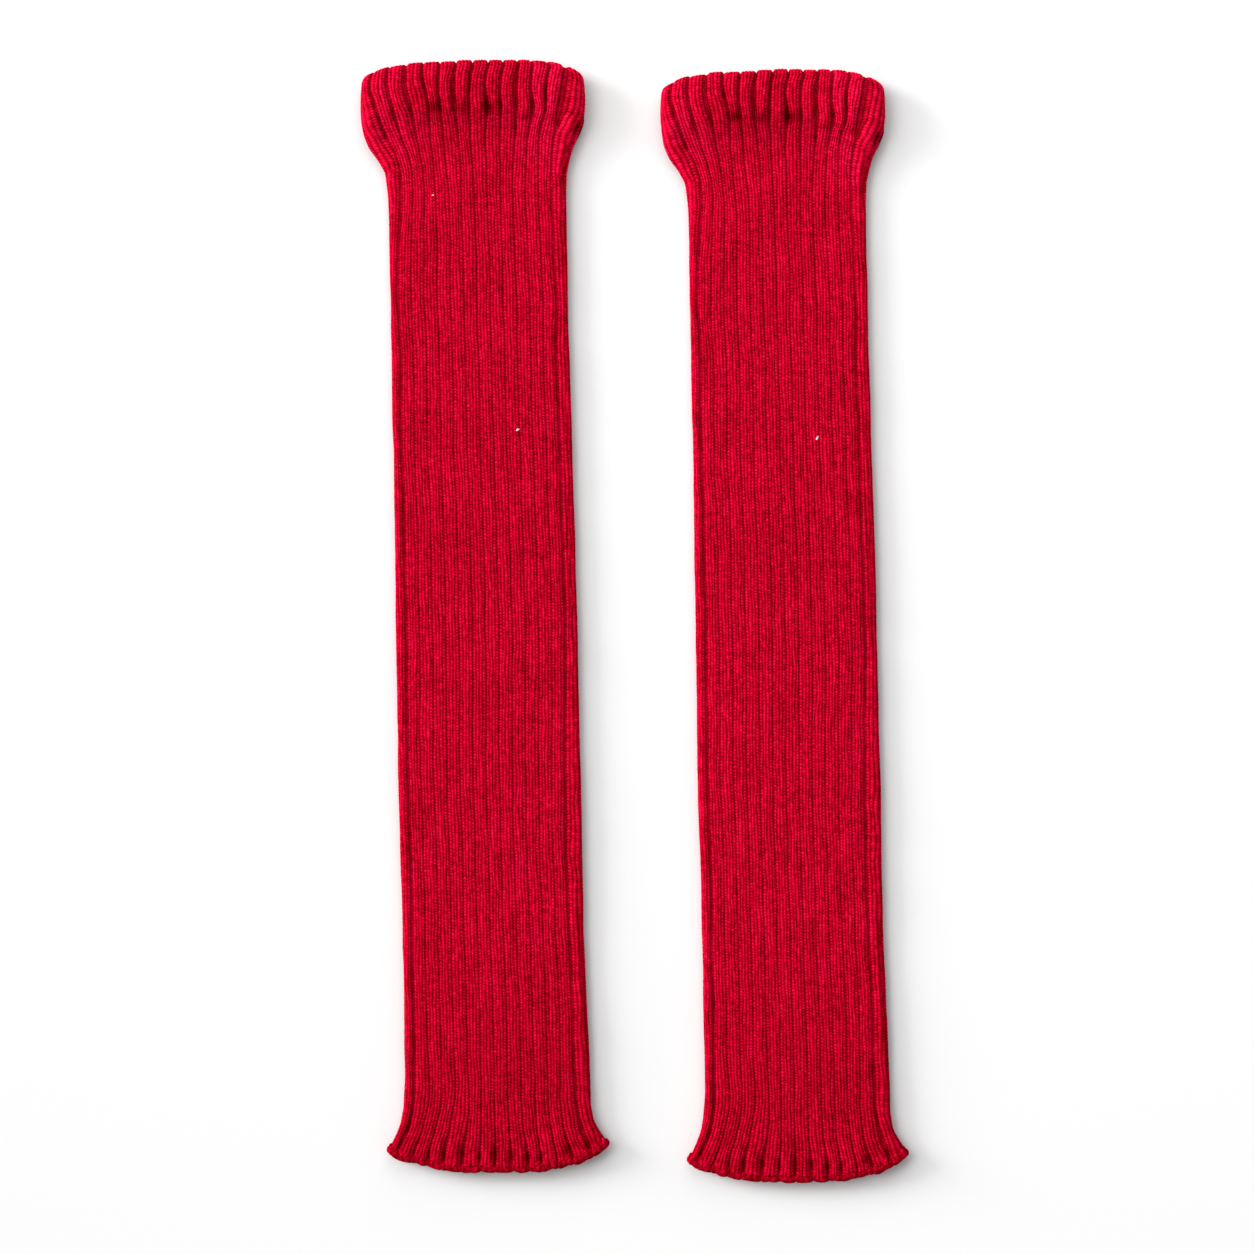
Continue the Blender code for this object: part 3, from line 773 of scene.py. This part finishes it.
# Sets an input to a number or colour, or links it to an output.
def feed(tree, socket, value):
    if isinstance(value, bpy.types.NodeSocket):
        tree.links.new(value, socket)
    else:
        socket.default_value = value


# A node with its settings and what goes into its inputs.
def addNode(tree, kind, inputs=None, **settings):
    node = tree.nodes.new(kind)
    for name, value in settings.items():
        setattr(node, name, value)
    for name, value in (inputs or {}).items():
        feed(tree, node.inputs[name], value)
    return node


# Output of a math node over numbers and outputs.
def calc(tree, operation, *values):
    node = addNode(tree, "ShaderNodeMath", dict(enumerate(values)), operation=operation)
    return node.outputs[0]


# Noise spread so that its values 0.3 and 0.7 become 0 and 1.
def noiseAt(tree, vector, scale, detail):
    noise = addNode(tree, "ShaderNodeTexNoise",
                    {"Vector": vector, "Scale": scale, "Detail": detail})
    spread = addNode(tree, "ShaderNodeMapRange",
                     {"Value": noise.outputs["Fac"], "From Min": 0.3, "From Max": 0.7})
    return spread.outputs["Result"]


# A shader node group that takes vectors and puts out numbers.
def newGroup(name, inputs, outputs):
    group = bpy.data.node_groups.new(name, "ShaderNodeTree")
    for socket in inputs:
        group.interface.new_socket(socket, in_out="INPUT", socket_type="NodeSocketVector")
    for socket in outputs:
        group.interface.new_socket(socket, in_out="OUTPUT", socket_type="NodeSocketFloat")
    return group, addNode(group, "NodeGroupInput"), addNode(group, "NodeGroupOutput")


# The stitches over the map's u in wales and v in courses. A wale is a rounded ridge. Its stitches
# are beads whose two legs slant away from its middle by a share of a course, and a purl stitch is
# a low arch. Every wale starts at its own height and drifts along its length. Single gives each
# stitch a random value of its own.
def stitchGroup():
    group, given, out = newGroup("knitStitches", ("Map",), ("Wale", "Stitch", "Single"))

    def at(operation, *values):
        return calc(group, operation, *values)

    parts = addNode(group, "ShaderNodeSeparateXYZ", {0: given.outputs["Map"]})
    u, v = parts.outputs[0], parts.outputs[1]
    waleNumber = at("FLOOR", u)
    own = addNode(group, "ShaderNodeTexWhiteNoise", {"W": waleNumber}, noise_dimensions="1D")
    drift = addNode(group, "ShaderNodeCombineXYZ",
                    {0: at("MULTIPLY", waleNumber, 3.7), 1: at("MULTIPLY", v, 0.11)})
    v = at("ADD", v, at("MULTIPLY", own.outputs["Value"], 0.6))
    v = at("MULTIPLY_ADD", noiseAt(group, drift.outputs[0], 1.0, 1.0), 1.2, v)
    inWale = at("FRACT", u)
    wale = at("POWER", at("SINE", at("MULTIPLY", inWale, np.pi)), 1.3)
    aside = at("MULTIPLY", at("ABSOLUTE", at("SUBTRACT", inWale, 0.5)), 2.0)
    leg = at("SUBTRACT", v, at("MULTIPLY", aside, 0.35))
    bead = at("SINE", at("MULTIPLY", at("FRACT", leg), np.pi))
    arch = at("ADD", v, at("PINGPONG", u, 1.0))
    arch = at("ABSOLUTE", at("SINE", at("MULTIPLY", arch, np.pi)))
    place = at("FRACT", at("DIVIDE", u, float(knit["walesPerRib"])))
    fromCrown = at("ABSOLUTE", at("SUBTRACT", place, 0.5))
    purl = at("GREATER_THAN", fromCrown, 1 / 3)
    outer = at("GREATER_THAN", fromCrown, 1 / 6)
    # the two inner wales of a rib are smooth chains, the outer ones are dotted
    dotted = at("MULTIPLY_ADD", outer, 0.6, 0.55)
    bead = at("MULTIPLY_ADD", at("SUBTRACT", bead, 0.64), dotted, 0.64)
    stitch = addNode(group, "ShaderNodeMix", {"Factor": purl, "A": bead, "B": arch})
    cell = addNode(group, "ShaderNodeCombineXYZ", {0: waleNumber, 1: at("FLOOR", leg)})
    single = addNode(group, "ShaderNodeTexWhiteNoise", {"Vector": cell.outputs[0]},
                     noise_dimensions="2D")
    feed(group, out.inputs["Wale"], wale)
    feed(group, out.inputs["Stitch"], stitch.outputs["Result"])
    feed(group, out.inputs["Single"], single.outputs["Value"])
    return group


# Uneven dye and spinning, as masks from 0 to 1: a slow mottle over the cloth, a change from wale
# to wale and along each, fuzz about two stitches wide, and fine fibres.
def yarnGroup():
    group, given, out = newGroup("yarnUnevenness", ("Map", "Object"),
                                 ("Mottle", "Strand", "Fuzz", "Fibre"))
    parts = addNode(group, "ShaderNodeSeparateXYZ", {0: given.outputs["Map"]})
    waleNumber = calc(group, "FLOOR", parts.outputs[0])
    line = addNode(group, "ShaderNodeCombineXYZ",
                   {0: calc(group, "MULTIPLY", waleNumber, 7.31),
                    1: calc(group, "MULTIPLY", parts.outputs[1], 0.06)})
    feed(group, out.inputs["Strand"], noiseAt(group, line.outputs[0], 1.0, 3.0))
    whole = given.outputs["Object"]
    for name, scale, detail in (("Mottle", 55.0, 4.0), ("Fuzz", 450.0, 1.5),
                                ("Fibre", 2600.0, 3.0)):
        feed(group, out.inputs[name], noiseAt(group, whole, scale, detail))
    return group


# Small pale bits of lint: 1 inside an ellipse round each spot, 0 outside.
def fleckGroup(spots):
    group, given, out = newGroup("lintFlecks", ("Object",), ("Fleck",))
    total = 0.0
    for x, y, long, wide, turn in spots:
        place = addNode(group, "ShaderNodeMapping",
                        {"Vector": given.outputs["Object"], "Location": (x, y, 0.0),
                         "Rotation": (0.0, 0.0, turn), "Scale": (long, wide, 1.0)},
                        vector_type="TEXTURE")
        flat = addNode(group, "ShaderNodeVectorMath", {0: place.outputs[0], 1: (1.0, 1.0, 0.0)},
                       operation="MULTIPLY")
        away = addNode(group, "ShaderNodeVectorMath", {0: flat.outputs[0]}, operation="LENGTH")
        total = calc(group, "ADD", total, calc(group, "LESS_THAN", away.outputs["Value"], 1.0))
    feed(group, out.inputs["Fleck"], total)
    return group


# Colours from the deepest painted shade in a hollow to the brightest stitch, whose pinker colour
# is a
# painted highlight, each at its share of the light scale, and what each mask adds to that scale:
# its strength, and the value at which it adds nothing. The Wale and Stitch masks paint light on
# the crowns of wales and stitches and shade between them; the others are the yarn's own uneven
# tone.
yarn = {
    "colours": ((0.0, (0.04, 0.0, 0.0007)), (0.25, (0.165, 0.0001, 0.0023)),
                (0.5, (0.42, 0.0004, 0.0132)), (0.75, (0.7, 0.0026, 0.037)),
                (1.0, (0.83, 0.01, 0.075))),
    "masks": (("Wale", 0.33, 0.6), ("Stitch", 0.21, 0.6), ("Single", 0.18, 0.5),
              ("Strand", 0.15, 0.5), ("Mottle", 0.05, 0.5), ("Fuzz", 0.18, 0.5),
              ("Fibre", 0.08, 0.5)),
    "level": 0.515,              # the scale where no mask adds anything
    "sheenTint": (1.0, 0.03, 0.1, 1.0),
    "sheen": 0.05,
    "stitchHeight": 0.0003,      # of the bumps, in metres
    "fibreHeight": 0.00005,
    "lint": (0.85, 0.7, 0.62, 1.0),
    "shade": 0.75,               # share of the light that the deepest painted shade takes away
    "contrast": {"knit": 1.0, "edge": 0.85},     # times the masks' strengths
}


# Soft crimson yarn with painted light and shade. Its light scale is a level plus what the wales,
# the stitches and the yarn's unevenness add, times contrast, so that light is painted on the
# crowns of wales and stitches and shade between them. The painted shading then takes up to shade
# of it away, and the colours follow that scale.
def yarnMaterial(name, groups, shade, contrast):
    stitches, unevenness, flecks = groups
    material = bpy.data.materials.new(name)
    material.use_nodes = True
    tree = material.node_tree
    shader = tree.nodes["Principled BSDF"]
    shader.inputs["Sheen Weight"].default_value = yarn["sheen"]
    shader.inputs["Sheen Roughness"].default_value = 0.4
    shader.inputs["Sheen Tint"].default_value = yarn["sheenTint"]
    shader.inputs["Specular IOR Level"].default_value = 0.0
    shader.inputs["Roughness"].default_value = 0.8
    where = addNode(tree, "ShaderNodeTexCoord").outputs["Object"]
    mapped = addNode(tree, "ShaderNodeUVMap", uv_map="knitMap").outputs[0]
    paintedShading = addNode(tree, "ShaderNodeAttribute", attribute_name="paintedShading").outputs["Fac"]
    stitch = addNode(tree, "ShaderNodeGroup", {"Map": mapped}, node_tree=stitches)
    uneven = addNode(tree, "ShaderNodeGroup", {"Map": mapped, "Object": where},
                     node_tree=unevenness)
    lint = addNode(tree, "ShaderNodeGroup", {"Object": where}, node_tree=flecks)
    masks = [(mask, contrast * strength, middle) for mask, strength, middle in yarn["masks"]]
    light = yarn["level"] - sum(strength * middle for _, strength, middle in masks)
    for mask, strength, _ in masks:
        source = stitch if mask in stitch.outputs else uneven
        light = calc(tree, "MULTIPLY_ADD", source.outputs[mask], strength, light)
    light = calc(tree, "MULTIPLY", light, calc(tree, "MULTIPLY_ADD", paintedShading, shade, 1 - shade))
    ramp = addNode(tree, "ShaderNodeValToRGB", {0: light})
    for at, _ in yarn["colours"][1:-1]:
        ramp.color_ramp.elements.new(at)
    for element, (at, colour) in zip(ramp.color_ramp.elements, yarn["colours"]):
        element.color = (*colour, 1.0)
    colour = addNode(tree, "ShaderNodeMix", {"Factor": lint.outputs["Fleck"],
                                             "A": ramp.outputs["Color"], "B": yarn["lint"]},
                     data_type="RGBA")
    feed(tree, shader.inputs["Base Color"], colour.outputs["Result"])
    fibreBump = addNode(tree, "ShaderNodeBump", {"Distance": yarn["fibreHeight"],
                                                 "Height": uneven.outputs["Fibre"]})
    stitchBump = addNode(tree, "ShaderNodeBump", {"Distance": yarn["stitchHeight"],
                                                  "Height": stitch.outputs["Stitch"],
                                                  "Normal": fibreBump.outputs[0]})
    feed(tree, shader.inputs["Normal"], stitchBump.outputs[0])
    return material


# Lint seen in the picture, on both leg warmers: x, y, half length and half width in metres, and
# its turn.
def fleckSpots():
    spots = []
    for side, at, turn in (("left", (518, 430), 0.5), ("right", (517.5, 428.5), 1.0)):
        x, y = (fromPicture(at) + tubePlace(side)[:2]) * mm
        spots.append((x, y, 1.15 * mm, 0.5 * mm, turn))
    x, y = (fromPicture((433, 196)) + tubePlace("left")[:2]) * mm
    spots.append((x, y, 0.55 * mm, 0.32 * mm, 0.2))
    return spots


groups = stitchGroup(), yarnGroup(), fleckGroup(fleckSpots())
knitYarn = yarnMaterial("crimsonRibKnit", groups, yarn["shade"], yarn["contrast"]["knit"])
edgeYarn = yarnMaterial("crimsonBoundEdge", groups, yarn["shade"], yarn["contrast"]["edge"])
print("yarn ready")

# Both leg warmers
for side in ("left", "right"):
    grid = tubeGrid(side)
    tube = makeTube(side, grid, knitYarn)
    cord = makeCord(side, grid[-1], edgeYarn)
    castOff = makeLoops(side, grid[-1], edgeYarn)
    print(side, "leg warmer made,", len(tube.data.polygons), "faces")

# Floor, light and camera, in metres
studio = {
    "floor": (0.79, 0.79, 0.79, 1.0),
    "floorHalf": 4.0,
    "cameraHeight": 3.2,
    "world": 0.45,
    # name, kind, where it comes from, and its settings
    "lights": (("keyLight", "SUN", (-0.7, 0.3, 0.64), {"energy": 1.9, "angle": 0.9}),
               ("lowLight", "SUN", (-0.91, 0.32, 0.26), {"energy": 3.3, "angle": 0.4}),
               ("topLight", "AREA", (0.0, 1.2, 0.9), {"energy": 10.0, "size": 1.4})),
}


# A plain pale surface just under the cloth, a grid of two by two faces.
def makeFloor():
    lines = np.array((-1.0, 0.0, 1.0)) * studio["floorHalf"]
    points = np.array([(x, y, -0.0004) for y in lines for x in lines])
    start = np.array((0, 1, 3, 4))[:, None]
    mesh = makeMesh("floor", points, start + np.array((0, 1, 4, 3)))
    material = bpy.data.materials.new("paleFloor")
    material.use_nodes = True
    shader = material.node_tree.nodes["Principled BSDF"]
    shader.inputs["Base Color"].default_value = studio["floor"]
    shader.inputs["Roughness"].default_value = 0.9
    shader.inputs["Specular IOR Level"].default_value = 0.1
    mesh.materials.append(material)
    addObject("floor", mesh)


# Two broad soft lights from the upper left, even over the whole floor, and a large lamp beyond
# the cuffs, whose light falls off towards the hems.
def makeLights():
    for name, kind, place, settings in studio["lights"]:
        lamp = bpy.data.lights.new(name, kind)
        for setting, value in settings.items():
            setattr(lamp, setting, value)
        light = addObject(name, lamp)
        light.location = place
        light.rotation_euler = Vector(place).to_track_quat("Z", "Y").to_euler()


# Straight above the pair, framed as the picture is: the lens is the sensor's width times the
# camera's height over the picture's width.
def makeCamera():
    data = bpy.data.cameras.new("camera")
    camera = addObject("camera", data)
    width = picture["side"] * picture["scale"] * mm
    data.lens = data.sensor_width * studio["cameraHeight"] / width
    camera.location = (picture["middle"][0] * mm, picture["middle"][1] * mm,
                       studio["cameraHeight"])
    data.clip_end = 20.0
    bpy.context.scene.camera = camera


makeFloor()
makeLights()
world = bpy.data.worlds.new("studioWorld")
world.use_nodes = True
world.node_tree.nodes["Background"].inputs["Color"].default_value = (1.0, 1.0, 1.0, 1.0)
world.node_tree.nodes["Background"].inputs["Strength"].default_value = studio["world"]
bpy.context.scene.world = world
bpy.context.scene.view_settings.view_transform = "Standard"
makeCamera()
print("studio ready")
